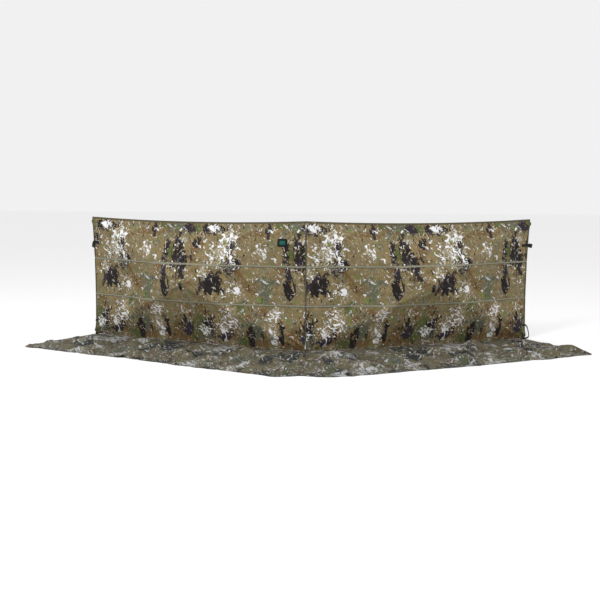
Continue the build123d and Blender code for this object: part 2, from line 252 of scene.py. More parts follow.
def camouflage(tree, cloth, crowding):
    """The whole print; crowding above 0 puts more bark and lichen on the cloth."""
    ink = {name: linear(value) for name, value in PRINT_INKS.items()}
    flat = roller(tree, cloth)
    wander = add_node(tree, "ShaderNodeTexNoise", None, {"Vector": flat, "Scale": 16.0, "Detail": 3.0})
    pull = vectors(tree, wander.outputs["Color"], (0.5, 0.5, 0.5), "SUBTRACT")
    drawn = vectors(tree, pull, (0.07, 0.07, 0.0), "MULTIPLY_ADD", cloth)

    # ground colours in soft patches
    tone = noise_at(tree, flat, 6.0, 3.0)
    colour = mix_colours(tree, step(tree, tone, 0.38, 0.56), ink["tan"], ink["khaki"])
    brown = noise_at(tree, roller(tree, cloth, stretch=(1.6, 1.0), offset=3.1), 8.0, 4.0)
    low = step(tree, add_node(tree, "ShaderNodeSeparateXYZ", inputs={0: cloth}).outputs[1], 0.40, 0.05)
    browned = both(tree, brown, both(tree, low, 0.10), "ADD")
    colour = mix_colours(tree, both(tree, step(tree, browned, 0.55, 0.62), 0.85), colour, ink["earth"])
    smudge = noise_at(tree, roller(tree, cloth, lean=0.3, offset=17.7), 15.0, 5.0, 0.5, 0.7)
    colour = mix_colours(tree, both(tree, step(tree, smudge, 0.56, 0.60), 0.8), colour, ink["sage"])
    speckle = noise_at(tree, roller(tree, cloth, lean=0.6, stretch=(0.8, 1.3)), 60.0, 4.0, 0.6, 0.7)
    colour = mix_colours(tree, both(tree, step(tree, speckle, 0.55, 0.60), 0.6), colour, ink["sand"])
    colour = mix_colours(tree, both(tree, step(tree, speckle, 0.42, 0.39), 0.5), colour, ink["umber"])

    # slate and green leaves
    tear = noise_at(tree, roller(tree, cloth, lean=-0.3, offset=7.7), 34.0, 4.0, 0.6, 0.6)
    coarse = noise_at(tree, roller(tree, cloth, offset=12.3), 18.0, 4.0, 0.5, 0.55)
    slate = ragged(tree, near_motifs(tree, drawn, SLATE), coarse, 5.0)
    colour = mix_colours(tree, slate, colour, ink["slate"])
    colour = mix_colours(tree, ragged(tree, near_motifs(tree, drawn, GREEN), tear, 4.2), colour, ink["olive"])
    sprig = noise_at(tree, roller(tree, cloth, lean=0.4, stretch=(0.7, 1.5), offset=15.9), 26.0, 3.0, 1.0)
    colour = mix_colours(tree, step(tree, sprig, 0.635, 0.65), colour, ink["moss"])

    # bark: dark, with a brown rim, and small splinters around it
    bark_field = near_motifs(tree, drawn, BARK)
    grain = roller(tree, cloth, lean=0.15, stretch=(0.7, 1.4), offset=26.1)
    barky = noise_at(tree, grain, 22.0, 4.0, 0.7, 0.6)
    halo = ragged(tree, bark_field, barky, 6.0, -0.38 - 0.15 * crowding)
    colour = mix_colours(tree, halo, colour, ink["umber"])
    dark = mix_colours(tree, step(tree, tone, 0.45, 0.55), ink["bark"], ink["bark_violet"])
    colour = mix_colours(tree, ragged(tree, bark_field, barky, 6.0, -0.14 - 0.15 * crowding), colour, dark)
    splinter = noise_at(tree, roller(tree, cloth, lean=0.1, stretch=(0.7, 1.4), offset=21.4), 30.0, 3.0, 0.8)
    colour = mix_colours(tree, step(tree, splinter, 0.635, 0.645), colour, dark)

    # lichen: pale squiggles, crowded in the patches and sparse between them
    patch = near_motifs(tree, drawn, LICHEN)
    crowd = step(tree, patch, -0.5, 1.0)
    squiggle = noise_at(tree, roller(tree, cloth, lean=0.2, offset=31.6), 31.0, 3.0, 1.2, 0.6)
    crossing = roller(tree, cloth, lean=-0.5, stretch=(0.8, 1.3), offset=5.5)
    second = noise_at(tree, crossing, 42.0, 2.5, 1.2, 0.6)
    raised = both(tree, both(tree, crowd, 0.16), 0.035 * crowding, "ADD")
    faint = step(tree, both(tree, second, raised, "ADD"), 0.655, 0.670)
    colour = mix_colours(tree, faint, colour, ink["cream"])
    pale = both(tree, squiggle, raised, "ADD")
    colour = mix_colours(tree, step(tree, pale, 0.615, 0.625), colour, ink["lichen_shade"])
    return mix_colours(tree, step(tree, pale, 0.645, 0.655), colour, ink["lichen"])


THREAD = 0.0024            # thread spacing of the oxford weave, drawn 4 times coarser so that it shows


def weave_height(tree, cloth, thread=THREAD):
    """Over-and-under threads as a height, from two sets of ripples at right angles."""
    across = add_node(tree, "ShaderNodeSeparateXYZ", inputs={0: cloth})
    ripples = []
    for socket in (0, 1):
        turns = both(tree, across.outputs[socket], 2 * math.pi / thread)
        ripples.append(add_node(tree, "ShaderNodeMath", math_node("SINE"), {0: turns}).outputs[0])
    return both(tree, ripples[0], ripples[1])


def bump(tree, shader, height, distance, strength=1.0, under=None):
    values = {"Height": height, "Distance": distance, "Strength": strength}
    if under is not None:
        values["Normal"] = under
    made = add_node(tree, "ShaderNodeBump", None, values)
    tree.links.new(made.outputs[0], shader.inputs["Normal"])
    return made.outputs[0]


def printed_cloth(name, roughness, sheen, coat_and_sky_sheen_colour, coat_and_sky_sheen_share, specular, depth, crowding):
    """Woven polyester with the print; a coating may make it smoother, and a blue-grey cast darkens it as
    coated cloth and cools it as a painted sheen of bluish sky light.
    """
    material, tree, shader = start_material(
        name, **{"Roughness": roughness, "Sheen Weight": sheen, "Sheen Roughness": 0.5,
                 "Specular IOR Level": specular, "IOR": 1.5})
    cloth = add_node(tree, "ShaderNodeUVMap", {"uv_map": "cloth"}).outputs[0]
    colour = camouflage(tree, cloth, crowding)
    # blue-grey cast: partly the coated cloth's darker colour, partly a painted sheen of bluish sky light
    colour = mix_colours(tree, coat_and_sky_sheen_share, colour, linear(coat_and_sky_sheen_colour))
    fade = noise_at(tree, cloth, 3.0, 3.0)
    shade = add_node(tree, "ShaderNodeMapRange", None,
                     {"Value": fade, "From Min": 0.3, "From Max": 0.7,
                       "To Min": depth[0], "To Max": depth[1]})
    colour = mix_colours(tree, 1.0, colour, shade.outputs[0], "MULTIPLY")
    tree.links.new(colour, shader.inputs["Base Color"])
    rumple = noise_at(tree, cloth, 16.0, 4.0)
    soft = bump(tree, shader, rumple, 0.004)
    bump(tree, shader, weave_height(tree, cloth), 0.00012, under=soft)
    return material


wall_cloth = printed_cloth("printed_oxford_polyester", 0.85, 0.02, "#8a8270", 0.0, 0.25, (0.76, 0.92), 0.0)
# the skirt's blue-grey cast is partly its coating's colour and partly a painted sheen of bluish sky light
skirt_cloth = printed_cloth("coated_oxford_polyester", 0.60, 0.02, "#3f5452", 0.22, 0.35, (0.46, 0.62), 1.0)
print("camouflage nodes", len(wall_cloth.node_tree.nodes))

# %% [markdown]
# ## The shape of a wall
# A flat cloth can't take the shape of a sharp pyramid. Stretched between a hub and four corners it rides
# over the poles as rounded ridges, sinks a little between them, and its free edges are pulled inwards.
# The same cloth carries tension folds that start at the hub and the corners and die out, gentle
# unevenness, and a slight rumple where its foot meets the ground. All of it is worked out for a point
# of the flat cloth, so neighbouring pieces that share a point agree on its place.

# %% Cloth measures
RIDGE_ROUND = 0.035        # share of the half size over which a ridge is rounded
FACET_SAG = 0.020
TOP_SAG = 0.020
TOP_FORWARD = 0.012
END_BOW = 0.020
CLOTH_THICK = 0.0009
CELL = 0.0095              # size of one cell of the wall's mesh


def ripple(u, z, size, seed):
    return noise.noise(Vector((u / size, z / size, seed)))


def fold_line(u, z, start, finish, width, depth):
    """A long crease from start to finish, strongest at its start: a valley with a raised lip."""
    line = finish - start
    share = max(0.0, min(1.0, (Vector((u, z)) - start).dot(line) / line.length_squared))
    foot = start + line * share
    aside = line.cross(Vector((u, z)) - start) / line.length
    spread = width * (0.55 + share)
    reach = (Vector((u, z)) - foot).length
    if reach > 3 * spread:
        return 0.0
    profile = math.exp(-(aside / spread) ** 2) - 0.8 * math.exp(-((aside - 1.5 * spread) / spread) ** 2)
    beyond = math.exp(-((reach ** 2 - aside ** 2) / spread ** 2) * 0.5)
    return -depth * (1 - share) * profile * beyond


HUB_FOLDS = {
    "left": [((-0.055, 0.030), (-0.190, 0.085)), ((-0.030, -0.006), (-0.165, -0.010)),
             ((0.030, -0.020), (0.150, -0.075)), ((-0.035, -0.030), (-0.120, -0.110)),
             ((0.040, 0.018), (0.160, 0.050))],
    "right": [((-0.050, 0.028), (-0.230, 0.080)), ((-0.030, 0.002), (-0.150, 0.012)),
              ((-0.028, -0.022), (-0.150, -0.070)), ((0.035, -0.018), (0.120, -0.090)),
              ((0.040, 0.020), (0.150, 0.070))],
}
HUB_FOLD_WIDTH = 0.028
HUB_FOLD_DEPTH = 0.022
HUB_CLAMPED = 0.020        # the cloth is held flat between the hub and its button inside this radius
POLE_CLEAR = 0.03          # folds keep this share of the half width away from the pole behind the ridge
CORNER_FOLDS = [(0.36, 0.215), (0.21, 0.045), (0.16, 0.13)]
CORNER_FOLD_WIDTH = 0.026
CORNER_FOLD_DEPTH = 0.015


def wall_point(side, p, q):
    """Place of a cloth point, where p and q run from -1 to 1 along and up the flat wall."""
    seed = 11.0 if side == "left" else 47.0
    u = HUB_U + p * HALF_LENGTH
    z = HUB_Z + q * HALF_HEIGHT
    far, near = max(abs(p), abs(q)), min(abs(p), abs(q))
    gap = far - near
    share = far
    if gap < RIDGE_ROUND:
        share += (RIDGE_ROUND - gap) ** 2 / (4 * RIDGE_ROUND)
    n = HUB_BULGE * (1 - share)
    between = 1 - (near / far) ** 2 if far > 1e-6 else 0.0
    n -= FACET_SAG * between * 4 * far * (1 - far) * 0.8
    # free edges: the top dips and leans forward, the outer end is drawn in
    if q > 0:
        z -= TOP_SAG * (1 - p * p) * q ** 3
        n += TOP_FORWARD * (1 - p * p) * q ** 3
    if p > 0:
        u -= END_BOW * (1 - q * q) * p ** 4
        n += 0.5 * END_BOW * (1 - q * q) * p ** 4
    # folds at the hub and the corners
    from_hub = math.hypot(u - HUB_U, z - HUB_Z)
    bearing = math.atan2(z - HUB_Z, u - HUB_U)
    ring = Vector((3.1 * math.cos(bearing), 3.1 * math.sin(bearing), seed))
    free = max(0.0, min(1.0, (from_hub - HUB_CLAMPED) / 0.035))
    n += 0.0065 * noise.noise(ring) * math.exp(-from_hub / 0.16) * free
    place = Vector((u - HUB_U, z - HUB_Z))
    clear = max(0.0, min(1.0, (gap - POLE_CLEAR) / POLE_CLEAR))
    for start, finish in HUB_FOLDS[side]:
        n += free * clear * fold_line(place.x, place.y, Vector(start), Vector(finish),
                                      HUB_FOLD_WIDTH, HUB_FOLD_DEPTH)
    for end in (-1, 1):
        for level in (-1, 1):
            local = Vector((end * (end * HALF_LENGTH - place.x), level * (level * HALF_HEIGHT - place.y)))
            for index, (run, rise) in enumerate(CORNER_FOLDS):
                size = 1.0 + 0.25 * math.sin(seed + 3 * end + 5 * level + 7 * index)
                finish = Vector((run * size, rise * size))
                n += clear * fold_line(local.x, local.y, finish * 0.12, finish,
                                       CORNER_FOLD_WIDTH, CORNER_FOLD_DEPTH)
    # gentle unevenness, fading out at the sewn edges
    inside = free * min(1.0, (1 - abs(p)) / 0.05, (1 - abs(q)) / 0.08)
    n += 0.0050 * ripple(u, z, 0.30, seed) * inside
    n += 0.0022 * ripple(u, 1.6 * z, 0.11, seed + 5) * inside
    n += 0.0007 * ripple(u, z, 0.035, seed + 9) * inside
    # the foot rumples on the ground
    foot = max(0.0, -q - 0.55) / 0.45
    n += 0.0080 * foot * foot * ripple(u, 0.25 * z, 0.12, seed + 17) * min(1.0, (1 - abs(p)) / 0.03)
    # brush straps pull the cloth in where they are tacked down
    for height, shift in STRAP_ROWS.values():
        off_row = (z - height) / 0.022
        tacked = (0.5 + 0.5 * math.cos(2 * math.pi * (u + shift) / TACK_SPACING)) ** 4
        n -= 0.0022 * math.exp(-off_row * off_row) * tacked
    return u, n, max(z, WALL_BOTTOM * 0.5)


STRAP_ROWS = {"top": (0.600, 0.00), "bottom": (0.325, 0.05)}
TACK_SPACING = 0.125
probe = wall_point("left", 0.3, 0.4)
print("a cloth point", [round(v, 4) for v in probe])

# %% [markdown]
# ### From one wall to four quarters
# When the hub folds, each quarter of the cloth gathers round its own pole, so each quarter is a piece of
# its own that rides with that pole. The mesh is made whole first and its normals are read there. Then it
# is cut, and every piece keeps the whole wall's normals, so the cuts don't show as long as the wall
# stands. The cloth is given its thickness last, and its reverse gets a darker, coated finish.

# %% A cloth piece with the whole cloth's normals
def grid_of(across, up):
    sheet = bmesh.new()
    bmesh.ops.create_grid(sheet, x_segments=across, y_segments=up, size=1.0)
    return sheet


def finish_mesh(name, mesh_data, materials):
    piece = bpy.data.objects.new(name, mesh_data)
    bpy.context.scene.collection.objects.link(piece)
    for material in materials:
        mesh_data.materials.append(material)
    return piece


THICKEST = 2.0


def cut_cloth(name, whole, keep, thickness, materials):
    """A thick cloth piece from the faces of 'whole' that 'keep' accepts, with the whole's normals."""
    part = whole.copy()
    source = part.verts.layers.int.new("source")
    normals = []
    part.verts.ensure_lookup_table()
    for vert in part.verts:
        vert[source] = vert.index
        normals.append(vert.normal.copy())
    bmesh.ops.delete(part, geom=[face for face in part.faces if not keep(face)], context="FACES")
    front = {vert[source]: vert.co.copy() for vert in part.verts}
    bmesh.ops.solidify(part, geom=part.faces[:], thickness=thickness)
    # at a sharp crease the even thickness would shoot out as a spike
    for vert in part.verts:
        step = vert.co - front[vert[source]]
        if step.length > THICKEST * thickness:
            vert.co = front[vert[source]] + step * THICKEST * thickness / step.length
    loop_normals = []
    for face in part.faces:
        shared = normals[face.verts[0][source]]
        facing = face.normal.dot(shared)
        face.smooth = True
        if facing < -0.5:
            face.material_index = min(1, len(materials) - 1)
        for vert in face.verts:
            own = normals[vert[source]]
            if abs(facing) < 0.5:
                loop_normals.append(face.normal.copy())
            else:
                loop_normals.append(own if facing > 0 else -own)
    mesh_data = bpy.data.meshes.new(name)
    part.to_mesh(mesh_data)
    part.free()
    mesh_data.normals_split_custom_set([tuple(v) for v in loop_normals])
    return finish_mesh(name, mesh_data, materials)


PRINT_START = {"left": WALL_END, "right": 0.092}


def print_place(side, u):
    """Where a wall's cloth lies on the roll. The roll runs the same way across both walls."""
    return PRINT_START[side] + SIDES[side] * u


def set_cloth_uv(sheet, cloth_place):
    """Writes each corner's place on the flat cloth, in metres, for the print and the weave."""
    uv = sheet.loops.layers.uv.new("cloth")
    for face in sheet.faces:
        for loop in face.loops:
            loop[uv].uv = cloth_place[loop.vert]


def reverse_cloth():
    """The cloth's inside: a dark polyurethane coating over the weave."""
    material, tree, shader = start_material(
        "polyurethane_coated_reverse", **{"Roughness": 0.6, "Specular IOR Level": 0.45, "IOR": 1.5})
    cloth = add_node(tree, "ShaderNodeUVMap", {"uv_map": "cloth"}).outputs[0]
    tone = noise_at(tree, cloth, 14.0, 4.0)
    colour = mix_colours(tree, tone, linear("#35322a"), linear("#4a463b"))
    tree.links.new(colour, shader.inputs["Base Color"])
    soft = bump(tree, shader, noise_at(tree, cloth, 16.0, 4.0), 0.004)
    bump(tree, shader, weave_height(tree, cloth), 0.00012, under=soft)
    return material


cloth_reverse = reverse_cloth()

# %% Build the walls
def pole_line(side, end, level):
    """A point on a pole and the direction, in the wall, that its cloth gathers along."""
    joint = next(j for j in frame["joints"] if j["child"] == f"{side}_{end}_{level}_arm")
    tip_low, tip_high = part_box(f"{side}_{end}_{level}_tip_cup")
    tip = (tip_low + tip_high) / 2
    pin = Vector(joint["pos_m"])
    out = turn(side, 0, 1, 0)
    spoke = tip - pin
    spoke -= out * spoke.dot(out)
    return pin, out.cross(spoke).normalized()


def gather(piece, side, end, level):
    """The piece rides with its pole."""
    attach(piece, f"{side}_{end}_{level}_arm")
    pin, across = pole_line(side, end, level)
    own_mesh(piece)
    return piece


def build_wall(side):
    across = 2 * round(HALF_LENGTH / CELL)
    up = 2 * round(HALF_HEIGHT / CELL)
    whole = grid_of(across, up)
    flat_place = {}
    middle = {}
    for vert in whole.verts:
        p, q = vert.co.x, vert.co.y
        flat_place[vert] = (print_place(side, HUB_U + p * HALF_LENGTH), WALL_BOTTOM + (q + 1) * HALF_HEIGHT)
        middle[vert.index] = (p, q)
        vert.co = at(side, *wall_point(side, p, q))
    set_cloth_uv(whole, flat_place)
    bmesh.ops.recalc_face_normals(whole, faces=whole.faces[:])
    whole.faces.ensure_lookup_table()
    if whole.faces[0].normal.dot(turn(side, 0, 1, 0)) < 0:
        bmesh.ops.reverse_faces(whole, faces=whole.faces[:])
    whole.normal_update()
    for end, level in QUARTERS:
        def keep(face, end=end, level=level):
            p = sum(middle[v.index][0] for v in face.verts)
            q = sum(middle[v.index][1] for v in face.verts)
            return p * END_SIGN[end] > 0 and q * LEVEL_SIGN[level] > 0
        name = f"{side}_{end}_{level}_cloth"
        piece = cut_cloth(name, whole, keep, CLOTH_THICK, [wall_cloth, cloth_reverse])
        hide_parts(f"{side}_{end}_{level}_wall")
        gather(piece, side, end, level)
    print(side, "wall cells", len(whole.faces))
    whole.free()


for side in SIDES:
    build_wall(side)

# %% [markdown]
# ## Sewn tape: one way to make every narrow piece
# Straps, bindings and webbing are all narrow woven strips that follow some line on the cloth. Each
# is given as rows of points, from one edge of the tape to the other. A grid takes those points, is given
# its thickness, and carries its own length and width as a UV map for the weave and the stitches.

# %% Tape
def tape(name, rows, thickness, material, smooth=True):
    """A woven strip through rows of points; every row runs along the strip."""
    across, along = len(rows) - 1, len(rows[0]) - 1
    sheet = grid_of(along, across)
    lengths = [0.0]
    for before, after in zip(rows[0], rows[0][1:]):
        lengths.append(lengths[-1] + (after - before).length)
    widths = [0.0]
    for before, after in zip(rows, rows[1:]):
        widths.append(widths[-1] + (after[0] - before[0]).length)
    flat_place = {}
    for vert in sheet.verts:
        i = round((vert.co.x + 1) / 2 * along)
        j = round((vert.co.y + 1) / 2 * across)
        flat_place[vert] = (lengths[i], widths[j])
        vert.co = rows[j][i]
    set_cloth_uv(sheet, flat_place)
    bmesh.ops.solidify(sheet, geom=sheet.faces[:], thickness=thickness)
    bmesh.ops.recalc_face_normals(sheet, faces=sheet.faces[:])
    for face in sheet.faces:
        face.smooth = smooth
    mesh_data = bpy.data.meshes.new(name)
    sheet.to_mesh(mesh_data)
    sheet.free()
    return finish_mesh(name, mesh_data, [material])


STITCH = 0.0045            # one stitch and the gap after it
TAPE_THREAD = 0.0016


def webbing(name, weave_colour, thread_colour, width, roughness=0.75, stitched=True):
    """Woven tape: ribs along it, crossed by a fine weave, with a row of stitches near each edge."""
    material, tree, shader = start_material(
        name, **{"Roughness": roughness, "Sheen Weight": 0.02, "Sheen Roughness": 0.5, "IOR": 1.5,
                 "Specular IOR Level": 0.25})
    cloth = add_node(tree, "ShaderNodeUVMap", {"uv_map": "cloth"}).outputs[0]
    split = add_node(tree, "ShaderNodeSeparateXYZ", inputs={0: cloth})
    tone = noise_at(tree, cloth, 90.0, 3.0)
    base = linear(weave_colour)
    darker = tuple(channel * 0.6 for channel in base[:3]) + (1.0,)
    colour = mix_colours(tree, tone, darker, base)
    ribs = both(tree, split.outputs[1], 2 * math.pi / TAPE_THREAD)
    rib = add_node(tree, "ShaderNodeMath", math_node("SINE"), {0: ribs}).outputs[0]
    picks = both(tree, split.outputs[0], 2 * math.pi / (1.4 * TAPE_THREAD))
    pick = add_node(tree, "ShaderNodeMath", math_node("SINE"), {0: picks}).outputs[0]
    height = both(tree, rib, both(tree, pick, 0.4), "ADD")
    if stitched:
        along = add_node(tree, "ShaderNodeMath", math_node("FRACT"),
                         {0: both(tree, split.outputs[0], 1 / STITCH)}).outputs[0]
        dash = both(tree, step(tree, along, 0.10, 0.16), step(tree, along, 0.74, 0.68))
        rows = []
        for place in (0.16 * width, 0.84 * width):
            near = add_node(tree, "ShaderNodeMath", math_node("COMPARE"),
                            {0: split.outputs[1], 1: place, 2: 0.0005})
            rows.append(near.outputs[0])
        stitch = both(tree, both(tree, rows[0], rows[1], "ADD"), dash)
        colour = mix_colours(tree, stitch, colour, linear(thread_colour))
        height = both(tree, height, both(tree, stitch, 2.0), "ADD")
    tree.links.new(colour, shader.inputs["Base Color"])
    bump(tree, shader, height, 0.00018)
    return material


brush_webbing = webbing("woven_polyester_strap", "#8f8d79", "#aaa791", 0.012)
binding_tape = webbing("grosgrain_binding", "#55503a", "#6e684e", 0.024)
seam_tape = webbing("grosgrain_seam_binding", "#474232", "#5a5541", 0.016)
black_webbing = webbing("woven_nylon_webbing", "#121213", "#2c2c2d", 0.020)

# %% [markdown]
# ### Brush straps
# Two straps cross each wall so that the hunter can tuck grass and reeds behind them. They are sewn down
# only here and there, and stand a little off the cloth in between. Each is made in two pieces per wall,
# so that each half gathers with the quarter it is sewn to.

# %% Brush straps
STRAP_WIDTH = 0.012
STRAP_LIFT = 0.0035
STRAP_THICK = 0.0011
STRAP_STEP = 0.0075


def strap_points(side, end, level):
    height, shift = STRAP_ROWS[level]
    count = round(HALF_LENGTH / STRAP_STEP)
    rows = []
    for share in (-0.5, -0.17, 0.17, 0.5):
        q = (height + share * STRAP_WIDTH - HUB_Z) / HALF_HEIGHT
        row = []
        for i in range(count + 1):
            p = END_SIGN[end] * i / count
            u, n, z = wall_point(side, p, q)
            flat_u = HUB_U + p * HALF_LENGTH
            wave = 0.5 - 0.5 * math.cos(2 * math.pi * (flat_u + shift) / TACK_SPACING)
            loop_number = round((flat_u + shift) / TACK_SPACING - 0.5)
            size = 0.6 + 0.8 * noise.noise(Vector((loop_number * 3.7, height, 5.0)))
            lift = 0.0016 + STRAP_LIFT * wave * max(0.1, size)
            droop = -0.0025 * wave * max(0.0, size)
            row.append(at(side, u, n + lift + (0.0003 if abs(share) < 0.3 else 0.0), z + droop))
        rows.append(row)
    return rows


for side in SIDES:
    for end, level in QUARTERS:
        rows = strap_points(side, end, level)
        strap = tape(f"{side}_{end}_{level}_strap", rows, STRAP_THICK, brush_webbing)
        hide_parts(f"{side}_{end}_{level}_brush_strap")
        gather(strap, side, end, level)
print("brush straps", len(SIDES) * len(QUARTERS))

# %% [markdown]
# ### Bindings
# Raw edges of coated cloth fray, so each edge is wrapped in folded tape. The tape's section is a flat U,
# and it is carried along the edge. The seam between the walls is bound too, which is the dark line that
# runs down the middle of the blind.

# %% Edge and seam bindings
BINDING_SECTION = [(0.011, 0.0010), (0.005, 0.0013), (-0.0012, 0.0011), (-0.0019, -0.0006),
                   (-0.0012, -0.0022), (0.005, -0.0026), (0.011, -0.0022)]
SEAM_SECTION = [(0.004, 0.0008), (0.002, 0.0012), (-0.0004, 0.0011), (-0.0006, -0.0006),
                (0.001, -0.0024), (0.007, -0.0024)]
BINDING_THICK = 0.0006
EDGES = {"top": ("q", 1), "end": ("p", 1), "seam": ("p", -1)}


def edge_rows(side, edge, span, section, count):
    """Rows of points along one edge; span is the part of the edge, from -1 to 1."""
    axis, sign = EDGES[edge]
    rows = []
    for inset, off in section:
        row = []
        for i in range(count + 1):
            along = span[0] + (span[1] - span[0]) * i / count
            if axis == "q":
                p, q = along, sign * (1 - inset / HALF_HEIGHT)
            else:
                p, q = sign * (1 - inset / HALF_LENGTH), along
            u, n, z = wall_point(side, p, q)
            row.append(at(side, u, n + off, z))
        rows.append(row)
    return rows


def bind_edges(side):
    for end, level in QUARTERS:
        if level == "top":
            rows = edge_rows(side, "top", (0, END_SIGN[end] * 1.0), BINDING_SECTION, 110)
            piece = tape(f"{side}_{end}_top_binding", rows, BINDING_THICK, binding_tape)
            gather(piece, side, end, level)
        edge = "end" if end == "outer" else "seam"
        section = BINDING_SECTION if end == "outer" else SEAM_SECTION
        material = binding_tape if end == "outer" else seam_tape
        span = (0.0, LEVEL_SIGN[level] * (1.0 if level == "top" else 0.995))
        rows = edge_rows(side, edge, span, section, 60)
        piece = tape(f"{side}_{edge}_{level}_binding", rows, BINDING_THICK,
                     material)
        gather(piece, side, end, level)


for side in SIDES:
    bind_edges(side)
print("bindings made")

# %% [markdown]
# ## Ground skirts
# A skirt is coated cloth sewn to the foot of the wall and let lie on the ground. Cloth lying on the
# ground is never flat: it keeps broad, low swells and its free edge lifts here and there. It can't go
# below the ground, so every height is kept above it. The front corners are rounded.

# %% Skirt shape
SKIRT_DEPTH = {"seam": 0.770, "end": 0.635}
SKIRT_BELLY = {"left": -0.004, "right": 0.030}
SKIRT_FLARE = {"left": 0.170, "right": 0.140}
SKIRT_LIFT = {"left": 0.0010, "right": 0.0028}
FRONT_ROUND = 0.26
FRONT_NOTCH = 0.15
TIP_ROUND = 0.045
SKIRT_CELL = 0.016


def edge_drop(distance, radius):
    """How far a rounded corner falls short of the square one."""
    if distance >= radius:
        return 0.0
    return radius - math.sqrt(max(0.0, radius ** 2 - (radius - distance) ** 2))


def skirt_plan(side, s, t):
    """Flat place of a skirt point: s runs from the seam to the outer end, t from the wall outwards."""
    seed = 3.0 if side == "left" else 83.0
    start = SEAM_CLEAR - t * SKIRT_DEPTH["seam"] * math.tan(TURN)
    finish = WALL_END + SKIRT_FLARE[side] * t
    u = start + s * (finish - start)
    depth = SKIRT_DEPTH["seam"] + s * (SKIRT_DEPTH["end"] - SKIRT_DEPTH["seam"])
    depth += SKIRT_BELLY[side] * math.sin(math.pi * s)
    depth -= FRONT_NOTCH * max(0.0, 1 - (u - start) / FRONT_ROUND) ** 2 + edge_drop(finish - u, TIP_ROUND)
    depth += 0.010 * ripple(u, 0, 0.33, seed + 2) * min(1.0, 6 * s * (1 - s))
    return u, 0.001 + t * depth


def skirt_start(side, u, n):
    """Height of the skirt before it settles: uneven, as if just thrown down."""
    seed = 3.0 if side == "left" else 83.0
    swell = max(0.0, ripple(u + 0.4 * n, 0.7 * n, 0.25, seed) + 0.10) * SWELL[0]
    swell += max(0.0, ripple(u - 0.6 * n, 1.1 * n, 0.12, seed + 4) + 0.05) * SWELL[1]
    fade = min(1.0, n / 0.20)
    foot = max(0.0, 1 - n / 0.030)
    return SKIRT_LIFT[side] + fade * swell + (WALL_BOTTOM - SKIRT_LIFT[side]) * foot ** 2


SWELL = (0.115, 0.075)
LAYING_FRAMES = 34


def let_it_lie(sheet, sewn, lift):
    """Lets the sheet fall on the ground with its sewn edge held, and gives back where it came to rest."""
    mesh_data = bpy.data.meshes.new("laying")
    sheet.to_mesh(mesh_data)
    cloth = bpy.data.objects.new("laying", mesh_data)
    ground_mesh = bpy.data.meshes.new("laying_ground")
    ground_mesh.from_pydata([(-4, -4, 0), (4, -4, 0), (4, 4, 0), (-4, 4, 0)], [], [(0, 1, 2, 3)])
    ground = bpy.data.objects.new("laying_ground", ground_mesh)
    for thing in (cloth, ground):
        bpy.context.scene.collection.objects.link(thing)
    ground.modifiers.new("collision", "COLLISION")
    ground.collision.thickness_outer = 0.001
    ground.collision.cloth_friction = 60.0
    held = cloth.vertex_groups.new(name="sewn")
    held.add(sewn, 1.0, "REPLACE")
    made = cloth.modifiers.new("cloth", "CLOTH")
    made.settings.quality = 6
    made.settings.mass = 0.25
    made.settings.tension_stiffness = 25.0
    made.settings.compression_stiffness = 25.0
    made.settings.shear_stiffness = 8.0
    made.settings.bending_stiffness = 1.5
    made.settings.air_damping = 2.0
    made.settings.vertex_group_mass = "sewn"
    made.collision_settings.distance_min = 0.001
    made.collision_settings.friction = 40.0
    made.collision_settings.use_self_collision = False
    scene = bpy.context.scene
    made.point_cache.frame_start = 1
    made.point_cache.frame_end = LAYING_FRAMES
    for frame_number in range(1, LAYING_FRAMES + 1):
        scene.frame_set(frame_number)
    settled = cloth.evaluated_get(bpy.context.evaluated_depsgraph_get())
    places = [Vector((v.co.x, v.co.y, max(v.co.z, lift))) for v in settled.data.vertices]
    scene.frame_set(1)
    for thing in (cloth, ground):
        bpy.data.objects.remove(thing)
    return places


SKIRT_SPLIT = 0.5


def skirt_gather(piece, side, end):
    """The skirt rides on its flap."""
    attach(piece, f"{side}_{end}_skirt_flap")
    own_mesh(piece)
    return piece


def flat_halves(whole, middle, flat_place):
    """Width, depth and area of each half's cloth, spread flat, before it settles into folds."""
    sizes = {}
    for end, sign in END_SIGN.items():
        faces = [face for face in whole.faces
                 if (sum(middle[v.index] for v in face.verts) / len(face.verts) - SKIRT_SPLIT) * sign > 0]
        places = [flat_place[vert] for face in faces for vert in face.verts]
        wide = max(place[0] for place in places) - min(place[0] for place in places)
        deep = max(place[1] for place in places) - min(place[1] for place in places)
        area = sum(face.calc_area() for face in faces)
        plan = 0.0
        for face in faces:
            corners = [flat_place[vert] for vert in face.verts]
            edges = zip(corners, corners[1:] + corners[:1])
            plan += abs(sum(a[0] * b[1] - b[0] * a[1] for a, b in edges)) / 2
        longer = math.sqrt(area / plan)
        sizes[end] = (wide * longer, deep * longer, area)
    return sizes


